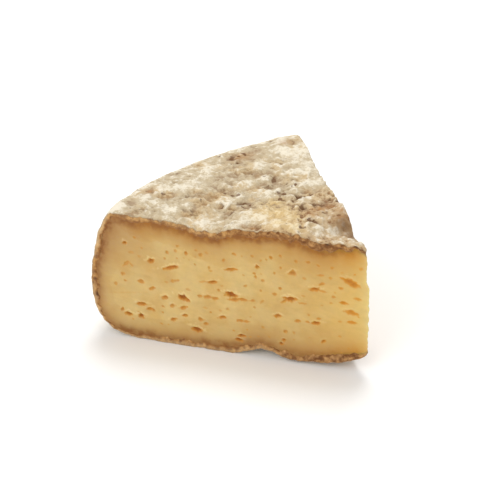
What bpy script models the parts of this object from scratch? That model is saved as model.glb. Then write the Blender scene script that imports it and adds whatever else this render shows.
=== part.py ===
"""A wedge of tomme de savoie: a sixth of a small pressed wheel, with a crusty rind and flattened eyes.

Metres, +Z up. The wheel's axis runs through the wedge's tip. The first cut lies along -X from the tip and
faces -Y, and the second lies 60 degrees further round. The finished wedge stands on z = 0 with the middle of
its box over the origin.
"""

from itertools import product
from math import cos, pi, radians, sin

import bmesh
import bpy
import numpy as np
from mathutils import Matrix, Vector

MM = 0.001

# Driving dimensions of the wheel that the wedge was cut from.
WEDGE_ANGLE = radians(60)
BELLY_RADIUS = 100 * MM
WHEEL_HEIGHT = 49.5 * MM
BELLY_HEIGHT = 22 * MM
TOP_SHOULDER = 8 * MM
FOOT_SHOULDER = 22 * MM

# Powers of the superellipses that round the heel: low leaves a crisp upper edge, high a full lower one.
TOP_POWER = 1.5
FOOT_POWER = 3.0

# Rings that the press left in the wheel's upper face, from the rim in to the middle.
RIM_SAG, RIM_START = 2.3 * MM, 60 * MM
RIM_RISE, RIM_RISE_RADIUS, RIM_RISE_WIDTH = 1.6 * MM, 85 * MM, 10 * MM
TROUGH_DROP, TROUGH_RADIUS, TROUGH_WIDTH = 1.9 * MM, 57 * MM, 8 * MM
RIDGE_LIFT, RIDGE_RADIUS, RIDGE_WIDTH = 2.0 * MM, 28.5 * MM, 12 * MM
GROOVE_DROP, GROOVE_RADIUS, GROOVE_WIDTH = 0.6 * MM, 17.5 * MM, 3 * MM
SHELF_DROP, SHELF_START, SHELF_WALL, SHELF_END = 3.3 * MM, 1 * MM, 15.3 * MM, 20.5 * MM

# Rings in its lower face, which has a groove and is hollow in the middle.
NOTCH_LIFT, NOTCH_RADIUS, NOTCH_WIDTH = 3.1 * MM, 35.5 * MM, 7.5 * MM
CUP_LIFT, CUP_WIDTH = 6.5 * MM, 12 * MM

# Relief of the rind: (size of the lumps, how far they stand out).
RIND_RELIEF = ((15 * MM, 0.5 * MM), (6.5 * MM, 0.4 * MM))
# The wheel's weight flattens lumps of the foot up to this height.
FOOT_PRESS = 0.3 * MM

# Mesh steps along the outline and round the wheel.
TOP_STEPS, TOP_HEEL_STEPS, FOOT_HEEL_STEPS, FOOT_STEPS = 30, 9, 10, 19
ROUND_STEPS = 30

# Eyes of the first cut, in millimetres and degrees: distance from the tip, height, length, opening, tilt.
FIRST_CUT_EYES = (
    (5, 35, 6.0, 2.8, -16),
    (5, 23, 5.0, 2.0, -4),
    (5, 19.5, 2.5, 1.2, 10),
    (8, 27, 2.0, 1.1, 0),
    (14, 10, 2.0, 1.1, 35),
    (15, 33, 2.3, 1.0, 30),
    (17, 30.5, 5.8, 1.5, -2),
    (18, 17, 4.8, 1.3, 5),
    (23, 17, 2.0, 1.0, 18),
    (25, 36, 2.7, 1.6, 24),
    (26, 25, 5.7, 2.4, 12),
    (31, 18, 2.2, 1.1, 10),
    (43, 14, 4.4, 1.2, 1),
    (44, 7, 3.6, 2.0, 15),
    (47, 23, 4.8, 3.0, -4),
    (43, 21.5, 4.2, 1.2, 4),
    (48, 34, 4.5, 1.2, 9),
    (51, 14, 2.4, 1.3, 22),
    (55, 28, 4.4, 1.4, 17),
    (56, 21, 6.6, 1.4, 1),
    (59, 12, 2.3, 1.3, 10),
    (60, 7, 3.8, 2.0, -15),
    (65, 19, 3.5, 2.5, -2),
    (65, 15, 2.5, 1.2, 18),
    (68, 26, 4.2, 1.0, 15),
    (69, 10, 2.4, 1.1, 18),
    (70, 31, 5.5, 1.6, 17),
    (77, 33, 2.5, 1.5, 9),
    (77, 21, 2.6, 1.2, 17),
    (77, 13, 3.2, 1.6, -7),
    (81, 23, 2.6, 1.1, 9),
    (81, 14, 3.5, 1.3, 5),
    (81, 10, 2.2, 1.8, -7),
    (86, 30, 4.0, 2.4, 9),
    (86, 10, 2.5, 1.7, -13),
)
# Eyes of the second cut, which follow a rule.
SECOND_CUT_EYES = 32
SECOND_CUT_SEED = 11
EYE_DEPTH_SHARE, DEEPEST_EYE = 0.55, 2.6 * MM
EYE_ROUGHNESS = 0.16
EYE_SEGMENTS, EYE_RINGS = 11, 7


def hashed(cells, salt):
    """A repeatable random number from 0 to 1 for each whole-numbered cell of a lattice."""
    x, y, z = np.moveaxis(cells.astype(np.int64).astype(np.uint32), -1, 0)
    n = x * np.uint32(73856093) ^ y * np.uint32(19349663) ^ z * np.uint32(83492791)
    n = n ^ np.uint32(salt * 7919 + 17)
    n = (n ^ (n >> np.uint32(15))) * np.uint32(2246822519)
    n = (n ^ (n >> np.uint32(13))) * np.uint32(3266489917)
    return (n ^ (n >> np.uint32(16))).astype(float) / 0xFFFFFFFF


def noise(points, size, salt=0):
    """Smooth noise, about -1 to 1, in lumps of this size: random slopes at a lattice's corners, blended."""
    scaled = points / size
    low = np.floor(scaled)
    inside = scaled - low
    ease = inside**3 * (inside * (inside * 6 - 15) + 10)
    total = np.zeros(points.shape[:-1])
    for corner in product((0, 1), repeat=3):
        share = np.prod(np.where(corner, ease, 1 - ease), axis=-1)
        slope = np.stack([hashed(low + corner, salt + axis) for axis in range(3)], axis=-1) * 2 - 1
        total += share * ((inside - corner) * slope).sum(-1)
    return total * 1.7


def bump(distance, width):
    """A bell curve, 1 in the middle."""
    return np.exp(-((distance / width) ** 2))


def ease_step(value, start, end):
    """From 0 at start to 1 at end, along an S."""
    share = np.clip((value - start) / (end - start), 0, 1)
    return share * share * (3 - 2 * share)


def settled_height(radius, swing, height):
    """The height in the pressed wheel of a point of the plain one. swing is 0 at the first cut, then 1."""
    top = (
        RIM_RISE * (0.2 + 0.8 * swing) * bump(radius - RIM_RISE_RADIUS, RIM_RISE_WIDTH)
        - RIM_SAG * np.sin(pi * swing) * ease_step(radius, RIM_START, BELLY_RADIUS - TOP_SHOULDER)
        - TROUGH_DROP * (1 - 0.7 * swing) * bump(radius - TROUGH_RADIUS, TROUGH_WIDTH)
        + RIDGE_LIFT * bump(radius - RIDGE_RADIUS, RIDGE_WIDTH)
        - GROOVE_DROP * bump(radius - GROOVE_RADIUS, GROOVE_WIDTH)
    )
    # The middle sinks towards the second cut, down a slope from the tip to a wall.
    shelf = ease_step(radius, SHELF_START, SHELF_WALL) * (1 - ease_step(radius, SHELF_WALL, SHELF_END))
    top = top - SHELF_DROP * swing * shelf
    notch = NOTCH_LIFT * (1 - 0.7 * swing) * bump(radius - NOTCH_RADIUS, NOTCH_WIDTH)
    foot = notch + CUP_LIFT * np.exp(-radius / CUP_WIDTH)
    share = height / WHEEL_HEIGHT
    return height + share * top + (1 - share) * foot


def superellipse(centre_radius, across, up, power, start, end, steps):
    """Points (radius, height) of a quarter superellipse about the belly's height, between two angles."""
    angles = np.linspace(start, end, steps + 1)[1:]
    return [
        (
            centre_radius + across * abs(cos(a)) ** (2 / power),
            BELLY_HEIGHT + up * abs(sin(a)) ** (2 / power),
        )
        for a in angles
    ]


def wheel_outline():
    """Half the plain wheel's section: points (radius, height) from the middle of the top to the foot's."""
    shoulder = BELLY_RADIUS - TOP_SHOULDER
    foot = BELLY_RADIUS - FOOT_SHOULDER
    top = [(radius, WHEEL_HEIGHT) for radius in np.linspace(0, shoulder, TOP_STEPS + 1)]
    upper = superellipse(
        shoulder, TOP_SHOULDER, WHEEL_HEIGHT - BELLY_HEIGHT, TOP_POWER, pi / 2, 0, TOP_HEEL_STEPS
    )
    lower = superellipse(foot, FOOT_SHOULDER, -BELLY_HEIGHT, FOOT_POWER, 0, pi / 2, FOOT_HEEL_STEPS)
    bottom = [(radius, 0.0) for radius in np.linspace(foot, 0, FOOT_STEPS + 1)[1:]]
    return top + upper + lower + bottom


def evaluated_mesh(obj):
    """The object's mesh with its modifiers applied."""
    graph = bpy.context.evaluated_depsgraph_get()
    return bpy.data.meshes.new_from_object(obj.evaluated_get(graph))


def turned_rind(collection):
    """The rind as a surface open at both cuts: the outline turned through the wedge's angle by a Screw."""
    outline = wheel_outline()
    mesh = bpy.data.meshes.new("wheel_outline")
    mesh.from_pydata([(r, 0, z) for r, z in outline], [(i, i + 1) for i in range(len(outline) - 1)], [])
    obj = bpy.data.objects.new("tomme_wedge", mesh)
    collection.objects.link(obj)
    screw = obj.modifiers.new("turn", "SCREW")
    screw.angle = WEDGE_ANGLE
    screw.steps = screw.render_steps = ROUND_STEPS
    screw.use_merge_vertices = True
    screw.merge_threshold = 1e-5
    bpy.context.view_layer.update()
    obj.data = evaluated_mesh(obj)
    obj.modifiers.clear()
    bpy.data.meshes.remove(mesh)
    return obj


def close_cuts(obj):
    """Joins the wheel's two middles by the tip's edge, and fills both cuts."""
    shape = bmesh.new()
    shape.from_mesh(obj.data)
    bmesh.ops.remove_doubles(shape, verts=shape.verts, dist=1e-6)
    on_axis = [v for v in shape.verts if v.co.xy.length < 1e-6]
    tip = shape.edges.new(on_axis)
    open_edges = [e for e in shape.edges if e.is_boundary]
    for angle in (0, WEDGE_ANGLE):
        across = Vector((-sin(angle), cos(angle), 0))
        rim = [e for e in open_edges if all(abs(v.co.dot(across)) < 1e-6 for v in e.verts)]
        bmesh.ops.contextual_create(shape, geom=[*rim, tip], mat_nr=1)
    bmesh.ops.recalc_face_normals(shape, faces=shape.faces)
    shape.to_mesh(obj.data)
    shape.free()


def press_and_crag(obj):
    """Presses the plain sector into the real wheel's shape, and raises the rind's lumps outwards from it.

    Points move only up, down and away from the wheel's axis, so that both cuts stay flat.
    """
    mesh = obj.data
    points = np.empty(len(mesh.vertices) * 3)
    mesh.vertices.foreach_get("co", points)
    points = points.reshape(-1, 3)
    radius = np.hypot(points[:, 0], points[:, 1])
    angle = np.where(radius > 1e-6, np.arctan2(points[:, 1], points[:, 0]), WEDGE_ANGLE / 2)
    swing = 1 - angle / WEDGE_ANGLE

    outward = ease_step(radius, BELLY_RADIUS - 2 * TOP_SHOULDER, BELLY_RADIUS)
    upward = np.where(points[:, 2] > BELLY_HEIGHT, 1.0, -1.0) * (1 - outward)
    lumps = sum(depth * noise(points, size, salt=i * 5) for i, (size, depth) in enumerate(RIND_RELIEF))
    on_foot = points[:, 2] < FOOT_PRESS
    lumps = np.where(on_foot, lumps + FOOT_PRESS, lumps)

    height = settled_height(radius, swing, points[:, 2]) + lumps * upward
    stretch = 1 + lumps * outward / np.maximum(radius, TOP_SHOULDER)
    points = np.column_stack([points[:, 0] * stretch, points[:, 1] * stretch, np.maximum(height, 0)])
    mesh.vertices.foreach_set("co", points.ravel())
    mesh.update()


def second_cut_eyes():
    """Eyes spread over the second cut, no two close together, mostly small and lying flat."""
    draw = np.random.default_rng(SECOND_CUT_SEED)
    eyes = []
    while len(eyes) < SECOND_CUT_EYES:
        distance, height = draw.uniform(7, 90), draw.uniform(8, 41)
        length = 2 + 4.5 * draw.random() ** 2.2
        opening = length * draw.uniform(0.32, 0.6) if length < 3.5 else draw.uniform(1.2, 2.4)
        tilt = draw.normal(0, 12)
        if all(np.hypot(distance - e[0], 1.6 * (height - e[1])) > 4 + (length + e[2]) / 2 for e in eyes):
            eyes.append((distance, height, length, opening, tilt))
    return eyes


def eye_cutter(collection, cut_angle, eye, number):
    """A lumpy flattened ball centred on a cut, as the object that hollows out one eye."""
    distance, height, length, opening, tilt = eye
    depth = min(EYE_DEPTH_SHARE * length * MM, DEEPEST_EYE)
    shape = bmesh.new()
    bmesh.ops.create_uvsphere(shape, u_segments=EYE_SEGMENTS, v_segments=EYE_RINGS, radius=1)
    # The ball's poles go into the cheese, so that its rings meet the cut squarely.
    shape.transform(Matrix.Rotation(pi / 2, 4, "X"))
    for vertex in shape.verts:
        place = np.array(vertex.co) + number * 7.3
        vertex.co *= 1 + EYE_ROUGHNESS * float(noise(place[None], 0.9)[0])
    shape.transform(Matrix.Diagonal((length * MM / 2, depth, opening * MM / 2, 1)))
    # A tilt raises the end of the eye that is nearer to the wedge's tip.
    shape.transform(Matrix.Rotation(radians(tilt), 4, "Y"))
    mesh = bpy.data.meshes.new(f"eye_{number:02d}")
    shape.to_mesh(mesh)
    shape.free()
    cutter = bpy.data.objects.new(mesh.name, mesh)
    cutter.location = Matrix.Rotation(cut_angle, 4, "Z") @ Vector((distance * MM, 0, height * MM))
    cutter.rotation_euler.z = cut_angle
    cutter.hide_render = True
    cutter.display_type = "WIRE"
    collection.objects.link(cutter)


def hollow_eyes(obj, collection):
    """Cuts every eye out of both cuts with one Boolean, and removes the cutters."""
    eyes = [(WEDGE_ANGLE, eye) for eye in FIRST_CUT_EYES] + [(0.0, eye) for eye in second_cut_eyes()]
    for number, (cut_angle, eye) in enumerate(eyes):
        eye_cutter(collection, cut_angle, eye, number)
    hollow = obj.modifiers.new("eyes", "BOOLEAN")
    hollow.operand_type = "COLLECTION"
    hollow.collection = collection
    hollow.operation = "DIFFERENCE"
    hollow.solver = "EXACT"
    bpy.context.view_layer.update()
    plain = obj.data
    obj.data = evaluated_mesh(obj)
    obj.modifiers.clear()
    bpy.data.meshes.remove(plain)
    for cutter in list(collection.objects):
        bpy.data.objects.remove(cutter)
    bpy.data.collections.remove(collection)


def set_down(obj):
    """Turns the first cut to face -Y, and puts the middle of the wedge's box over the origin."""
    obj.data.transform(Matrix.Rotation(pi - WEDGE_ANGLE, 4, "Z"))
    corners = [Vector(corner) for corner in obj.bound_box]
    low = Vector(map(min, *corners))
    high = Vector(map(max, *corners))
    obj.data.transform(Matrix.Translation((-(low.x + high.x) / 2, -(low.y + high.y) / 2, -low.z)))


def food_material(name, colour, roughness):
    """A plain matt food surface."""
    material = bpy.data.materials.new(name)
    material.use_nodes = True
    shader = material.node_tree.nodes["Principled BSDF"]
    shader.inputs["Base Color"].default_value = (*colour, 1)
    shader.inputs["Roughness"].default_value = roughness
    shader.inputs["Metallic"].default_value = 0
    material.diffuse_color = (*colour, 1)
    return material


def main():
    for obj in list(bpy.data.objects):
        bpy.data.objects.remove(obj)
    collection = bpy.data.collections.new("tomme_de_savoie")
    cutters = bpy.data.collections.new("eye_cutters")
    bpy.context.scene.collection.children.link(collection)
    bpy.context.scene.collection.children.link(cutters)

    wedge = turned_rind(collection)
    wedge.data.materials.append(food_material("tomme_rind", (0.56, 0.46, 0.33), 0.9))
    wedge.data.materials.append(food_material("tomme_paste", (0.66, 0.44, 0.16), 0.5))
    close_cuts(wedge)
    press_and_crag(wedge)
    hollow_eyes(wedge, cutters)
    set_down(wedge)
    wedge.data.shade_smooth()
    wedge.data.set_sharp_from_angle(angle=radians(40))


main()
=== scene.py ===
"""The looks of a wedge of tomme de savoie: its crusty rind, its cut paste with small eyes, and its view.

Metres. Places on the wheel are a radius from its axis, which runs through the wedge's tip, a share of the
way round from the first cut (0) to the second (1), and a height above the board.
"""

from itertools import product
from math import cos, pi, radians, sin

import bmesh
import bpy
import numpy as np
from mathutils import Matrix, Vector


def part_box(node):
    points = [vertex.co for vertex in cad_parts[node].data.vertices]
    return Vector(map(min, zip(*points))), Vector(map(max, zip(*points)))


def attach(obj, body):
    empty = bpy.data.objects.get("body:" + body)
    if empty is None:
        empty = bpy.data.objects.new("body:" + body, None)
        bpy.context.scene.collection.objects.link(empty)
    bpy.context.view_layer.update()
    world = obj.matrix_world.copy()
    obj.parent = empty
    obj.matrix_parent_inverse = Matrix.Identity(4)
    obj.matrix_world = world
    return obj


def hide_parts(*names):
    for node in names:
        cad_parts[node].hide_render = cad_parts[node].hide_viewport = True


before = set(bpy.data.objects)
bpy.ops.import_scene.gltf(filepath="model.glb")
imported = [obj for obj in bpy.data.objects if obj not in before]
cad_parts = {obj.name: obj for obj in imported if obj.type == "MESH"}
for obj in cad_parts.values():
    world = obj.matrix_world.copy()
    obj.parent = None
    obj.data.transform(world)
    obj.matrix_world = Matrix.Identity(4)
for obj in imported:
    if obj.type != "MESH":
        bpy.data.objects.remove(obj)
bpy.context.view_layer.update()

MM = 0.001

# The wheel, as the solid has it.
WEDGE_ANGLE = radians(60)
BELLY_RADIUS = 100 * MM
WHEEL_HEIGHT = 49.5 * MM
BELLY_HEIGHT = 22 * MM
TOP_SHOULDER = 8 * MM
FOOT_SHOULDER = 22 * MM
TOP_POWER = 1.5
FOOT_POWER = 3.0
HEEL_SAMPLES = 400

# Rings that the press left in its upper face, from the rim in to the middle, and in its lower one.
RIM_SAG, RIM_START = 2.3 * MM, 60 * MM
RIM_RISE, RIM_RISE_RADIUS, RIM_RISE_WIDTH = 1.6 * MM, 85 * MM, 10 * MM
TROUGH_DROP, TROUGH_RADIUS, TROUGH_WIDTH = 1.9 * MM, 57 * MM, 8 * MM
RIDGE_LIFT, RIDGE_RADIUS, RIDGE_WIDTH = 2.0 * MM, 28.5 * MM, 12 * MM
GROOVE_DROP, GROOVE_RADIUS, GROOVE_WIDTH = 0.6 * MM, 17.5 * MM, 3 * MM
SHELF_DROP, SHELF_START, SHELF_WALL, SHELF_END = 3.3 * MM, 1 * MM, 15.3 * MM, 20.5 * MM
NOTCH_LIFT, NOTCH_RADIUS, NOTCH_WIDTH = 3.1 * MM, 35.5 * MM, 7.5 * MM
CUP_LIFT, CUP_WIDTH = 6.5 * MM, 12 * MM

# Lumps that the solid has too, as size and height, and how far the press flattens those of the foot.
RIND_RELIEF = ((15 * MM, 0.5 * MM), (6.5 * MM, 0.4 * MM))
FOOT_PRESS = 0.3 * MM

# Finer relief of the rind: a felt of mould over wrinkles and grain, with pits, creases and crags.
MOULD_RISE = 0.9 * MM
BEND_SIZE, BEND_REACH = 5 * MM, 1.6 * MM
BROAD_SIZE, MIDDLING_SIZE = 9 * MM, 4.2 * MM
PIT_SIZE, PIT_DEPTH = 1.9 * MM, 0.6 * MM
CREASE_SIZE, CREASE_DEPTH, CREASED_SIZE = 5 * MM, 0.35 * MM, 8 * MM
WRINKLE_SIZE, WRINKLE_HEIGHT = 2.2 * MM, 0.46 * MM
GRAIN_SIZE, GRAIN_HEIGHT = 1.3 * MM, 0.25 * MM
CRAG_SIZE, CRAG_HEIGHT = 3.2 * MM, 0.75 * MM
CUT_EDGE_WIDTH, CUT_EDGE_DROP, CUT_EDGE_GRAIN = 1.2 * MM, 0.35 * MM, 3 * MM
# Its middle is warmer out to a wavering radius, and creases start outside one.
WARM_RADII, WARM_WAVER = (20 * MM, 52 * MM), 6 * MM
CREASED_RADII = (18 * MM, 30 * MM)

# Where along the outline one thing gives way to another. 1 is the shoulder and 2 the foot's edge.
TOP_FADE = (1.2, 0.95)
RIM_SHARE, RIM_SPREAD = 1.01, 0.035
CALM_FROM, CALMEST_TO, GREY_FROM = (0.86, 1), (1.1, 1.3), (0.86, 1)
# From here down, the skin beside a cut is painted paler, as painted light.
PAINTED_LIGHT_FROM = (1.02, 1.12)
HEEL_FROM, HEEL_TO = (0.98, 1.1), (1.85, 2.02)
LOW_HEEL_FROM, LOW_HEEL_TO = (1.45, 1.7), (1.95, 2.1)
PASTE_SHOULDER, PASTE_FOOT = 1.03, 1.8

# The tip's edge bulges beyond the wheel's axis. The pairs of heights are where the bulge grows above the
# foot, where a chip takes a share of it, and where the top takes a share of what is left. The edge waves a
# little too, and it is rounded and worn.
TIP_BULGE, TIP_SPREAD = 2.1 * MM, 6 * MM
TIP_FOOT, TIP_CHIP, TIP_TOP = (4 * MM, 9 * MM), (33.5 * MM, 36.5 * MM), (44 * MM, 50 * MM)
TIP_CHIP_SHARE, TIP_TOP_SHARE = 0.55, 0.8
TIP_WAVE, TIP_WAVE_SIZE = 0.25 * MM, 6 * MM
TIP_JAG, TIP_JAG_SIZE = 0.42 * MM, 1.9 * MM
TIP_ROUNDING, TIP_ROUNDNESS = 0.45 * MM, 0.9 * MM
TIP_WEAR, TIP_WEAR_WIDTH = 0.9 * MM, 1.3 * MM

# Patches of the upper face, each with its radius in millimetres, its swing in degrees, and half its length
# round the wheel and half its width in millimetres.
MOULD_PATCHES = (
    (91, 3, 4, 3), (85.5, 9.5, 5, 3), (81, 9.5, 3.5, 2.5), (84, 17, 4, 3), (79, 20, 4, 3),
    (76.5, 23, 6, 4), (78, 28, 3, 2.5), (84, 33, 3, 2.5), (84.5, 37.5, 4, 3), (73, 6, 5, 5),
    (70, 12, 4.5, 2.2), (60, 5, 6, 4), (74, 45.5, 6, 3), (64, 54, 7, 3.5), (67, 58, 2, 2),
    (78, 55.5, 11, 9), (67, 56, 8, 7), (54, 58, 3, 4), (88, 55, 3, 2.5), (86, 44, 2, 1.5),
    (55.5, 35.5, 3.5, 4), (66, 35, 4, 2.5), (59, 27, 3, 2.4), (62, 19, 5, 3), (42, 15.5, 4, 4.5),
    (46, 7, 5, 3), (34, 9, 4, 4), (54, 54, 6, 4), (21, 21, 5, 4), (26.5, 8, 3, 3), (25, 37.5, 4, 2.5),
    (17, 34, 3, 3), (24.5, 53.5, 2, 1.4), (29.5, 59, 2, 1.5), (48, 40, 2.2, 1.6), (51, 43.5, 2, 1.5),
    (53.5, 38.5, 2, 1.5), (53.5, 45.5, 1.6, 1.2), (45, 38, 1.3, 1.2), (41.5, 47, 1.6, 1.4),
    (39.5, 39.5, 2, 1.3), (34, 38.5, 1, 1.8), (5, 54, 2, 3), (10, 10, 1.5, 2),
)
BARE_PATCHES = (
    (88, 6.5, 3, 3.5), (83, 3, 3.5, 3), (78.5, 4.5, 3, 2.5), (88, 14.5, 3, 2.5), (79, 13.5, 4, 3),
    (73, 18, 3, 2), (66, 15, 4, 5), (65.5, 8, 4, 4), (73, 27, 6, 3), (65, 26, 3, 3), (89, 31, 4, 2.5),
    (92, 38, 5, 1.5), (84, 42, 8, 5), (90, 47, 4, 2), (85, 57.5, 2, 3), (74, 49, 3, 2), (69, 40, 8, 3),
    (61, 43, 4, 4), (55, 15, 3, 3), (52, 22, 5, 3), (58, 39.5, 3, 3), (47, 40, 3, 4), (31, 47, 6, 4),
    (23, 51, 3, 3), (25, 37.5, 5, 3), (30, 36, 4, 2), (77, 37, 5, 3), (66, 20, 4, 2.5), (74, 34, 3, 2),
    (26, 25, 3, 3), (68, 52, 4, 1.5), (40, 3, 2, 4),
)
DARK_SPOTS = (
    (77.5, 4, 1.6, 0.9), (84, 3.2, 1.5, 0.8), (87.5, 13.8, 2.3, 1.3), (89.7, 25.5, 2.2, 1),
    (82, 15, 1.2, 0.8), (74, 17.5, 1.3, 0.8), (72, 18.5, 1, 0.8), (64.5, 8.5, 2.2, 1.4),
    (67, 26, 2, 1.5), (54, 14.5, 1.3, 1), (52.5, 13, 1, 0.8), (49, 5.5, 1.5, 1), (60.5, 27.5, 2.4, 1.5),
    (86, 44.5, 1.3, 1.2), (71.5, 39, 2, 1.1), (80.5, 40, 1.6, 1.2), (93.5, 29.5, 2.5, 1),
    (91, 38.5, 2, 0.9), (93, 44.5, 1.6, 0.9), (89.5, 48.5, 1.6, 0.9), (92.5, 51.5, 1.3, 0.9),
    (89.5, 53.5, 1.2, 1), (85.5, 57.5, 0.9, 1.8), (73.5, 51, 1.8, 1.2), (59, 39.5, 1.8, 1.5),
    (55.5, 39, 1.2, 1.5), (63, 36, 1.2, 1.2), (50, 39.5, 1.4, 2), (46, 35.5, 2, 1.4),
    (42.5, 39, 1.6, 1.3), (42.5, 42.5, 2.2, 1.4), (62.5, 44.5, 1.4, 1.3), (54, 48, 1.8, 1),
    (34, 32, 1.7, 1.4), (31.5, 30, 1.3, 1.1), (34.5, 42, 1.8, 0.6), (32.8, 47.5, 1.7, 0.5),
    (28.5, 40, 1.2, 0.7), (27, 44, 1.3, 0.7), (36, 56.5, 1.8, 1.2), (43.5, 50, 1.5, 1.6),
    (32.5, 58.5, 1.4, 1), (44, 45.5, 1.8, 1.2), (23.5, 11.5, 1.2, 1), (25.5, 15, 1.2, 0.9),
    (24, 27, 1.9, 0.9), (38, 2.5, 0.8, 2), (43, 1.5, 0.7, 1.5),
)
# A steep wall near the second cut, painted darker brown as the shade it falls in, facing away from the
# light.
SHADED_WALL_PATCHES = (
    (18, 52.5, 4.5, 3.5), (14.5, 57, 4.5, 4),
)
CRAGGY_PATCHES = (
    (46, 34, 6, 4), (44, 43, 7, 5), (52, 46, 4, 3), (36, 36, 3, 4), (35.5, 45, 6, 3), (35, 56, 4, 4),
    (25, 26, 3, 4), (54, 24, 4, 5), (58, 18, 3, 4), (64, 43, 4, 3), (85, 42, 6, 3), (90, 52, 3, 2),
)
OCHRE_PATCHES = (
    (38, 23, 7, 9), (31, 22, 5, 5), (32, 11, 5, 4.5), (27, 9, 4, 4), (45, 30, 5, 4),
)
RUST_PATCHES = (
    (30, 46, 6, 2.2), (28, 35, 2, 2), (25, 55, 2, 2), (21, 52.5, 3.5, 2.4), (87, 13.5, 2.2, 1.6),
    (86, 56, 3, 2), (84, 43, 5, 3), (41, 2.5, 1.5, 4),
)

# How thick the rind is on a cut, in millimetres: by radius along the top and the foot, and by height on
# the heel.
TOP_RIND = (
    (0, 0.7), (4, 1.2), (8, 2.2), (14, 3.0), (19, 3.1), (23, 2.5), (34, 2.2), (50, 2.6), (60, 2.2),
    (70, 2.0), (77, 1.5), (84, 2.1), (92, 1.5),
)
FOOT_RIND = (
    (0, 1.2), (4, 2.8), (8, 3.3), (12, 3.1), (19, 2.2), (28, 2.3), (31, 1.7), (41, 2.4), (52, 1.8),
    (66, 2.3), (78, 1.5),
)
HEEL_RIND = ((0, 1.0), (4, 0.7), (11, 0.9), (15, 2.1), (22, 2.3), (26, 1.5), (36, 1.9), (46, 1.6))
THINNEST_RIND = 0.5 * MM
RIND_RAGGEDNESS, RAGGED_SIZE, FINE_RAGGED_SIZE = 0.6 * MM, 3.4 * MM, 1.3 * MM
# On a cut the rind stands a little proud of the paste, in crumbs. It comes out within a short way of its
# skin and of the tip, and past its inner edge it is tucked behind the paste.
RIND_PROUD, CRUMB_RISE, CRUMB_SIZE, FINE_CRUMB_SIZE = 0.12 * MM, 0.24 * MM, 1.7 * MM, 0.9 * MM
SKIN_WIDTH, PROUD_WIDTH, PROUD_FROM_TIP = 0.3 * MM, 0.5 * MM, 1.5 * MM
RIND_TUCK, TUCK_START, TUCK_DEPTH = 0.8 * MM, 0.1 * MM, 0.4 * MM

# Behind the rind the paste has dried and browned. The tint falls off from a little way in, with a weak long
# tail, and a darker line right behind the rind, partly brown and partly painted shadow under the rind's
# edge, is this wide. The nearest rind is sought among so many points.
DRY_START, DRY_TAIL, DRY_TAIL_REACH = 0.6 * MM, 0.23, 13 * MM
LINE_WIDTH = 3 * MM
OUTLINE_SAMPLES = 501
# How far in the tint falls to a third, in millimetres, by radius and by height in the same way.
TOP_DRYING = ((0, 6.2), (6, 6.2), (15, 5.2), (30, 3.2), (60, 3.0), (78, 4.2), (92, 11))
FOOT_DRYING = ((0, 4.6), (20, 4.3), (30, 3.8), (46, 3.2), (54, 2.4), (66, 2.0), (78, 2.2))
HEEL_DRYING = ((0, 2.4), (4, 3.0), (12, 2.2), (22, 2.2), (34, 5.8), (46, 13))
# How brown the rind is where it is cut, in the same order.
TOP_SHADE = ((0, 0.6), (8, 0.55), (20, 0.6), (30, 0.7), (40, 0.5), (56, 0.1), (92, 0.1))
FOOT_SHADE = ((0, 0.8), (24, 0.75), (36, 0.45), (50, 0.2), (78, 0.3))
HEEL_SHADE = ((0, 0.4), (8, 0.1), (20, 0.2), (34, 0), (46, 0))
# How dark the line right behind the rind is, partly brown paste and partly painted shadow under the rind's
# edge, in the same order.
TOP_LINE = ((0, 0), (6, 0.3), (20, 0.6), (40, 0.8), (60, 0.7), (80, 0.6), (92, 0.9))
FOOT_LINE = ((0, 0), (20, 0.2), (42, 0.3), (50, 0.8), (58, 0.6), (62, 0.2), (73, 0.2), (78, 0.7))
HEEL_LINE = ((0, 0.9), (1.5, 0.7), (3.5, 0.1), (13, 0), (20, 0.2), (28, 0.6), (46, 1.0))
# How pale its outer edge is where it is cut, in the same order.
TOP_EDGE = ((0, 0), (50, 0), (60, 0.2), (92, 0.15))
FOOT_EDGE = ((0, 0), (26, 0), (34, 0.25), (50, 0.35), (78, 0.4))
HEEL_EDGE = ((0, 0.45), (10, 0.6), (22, 0.1), (31, 0.1), (37, 0.6), (46, 0.6))
# Dark nicks in the rind on the first cut, painted dark as the shade in these hollows, in millimetres:
# distance from the tip, height, and half their length and height.
RIND_NICKS = (
    (13.5, 48.9, 0.8, 0.9), (7.3, 50.0, 0.6, 0.6), (3.3, 49.4, 1.2, 0.5), (1.6, 48.7, 1.0, 0.4),
    (21.4, 48.4, 0.9, 0.6), (18.4, 46.6, 0.8, 0.4), (9.0, 47.9, 1.0, 0.4), (98.1, 21.2, 0.6, 1.0),
    (97.8, 15.9, 0.9, 1.1),
)

# Mesh steps: rings of the two faces, which are also columns round the wheel, rings of the heel, steps
# across the cut rind, and columns and rows of the cut paste.
FACE_RINGS, HEEL_RINGS = 214, 124
BAND_STEPS = 11
PASTE_COLUMNS, PASTE_ROWS = 292, 146
# Where on a cut the paste ends, as a share of the rind's thickness, where round the wedge the hidden walls
# between rind and paste have their points, and how far apart those walls are.
PASTE_INSET = 0.45
WALL_SWINGS = (0.015, 0.1, 0.23, 0.37, 0.5, 0.63, 0.77, 0.9, 0.985)
WALL_GAP = 0.1 * MM

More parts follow.
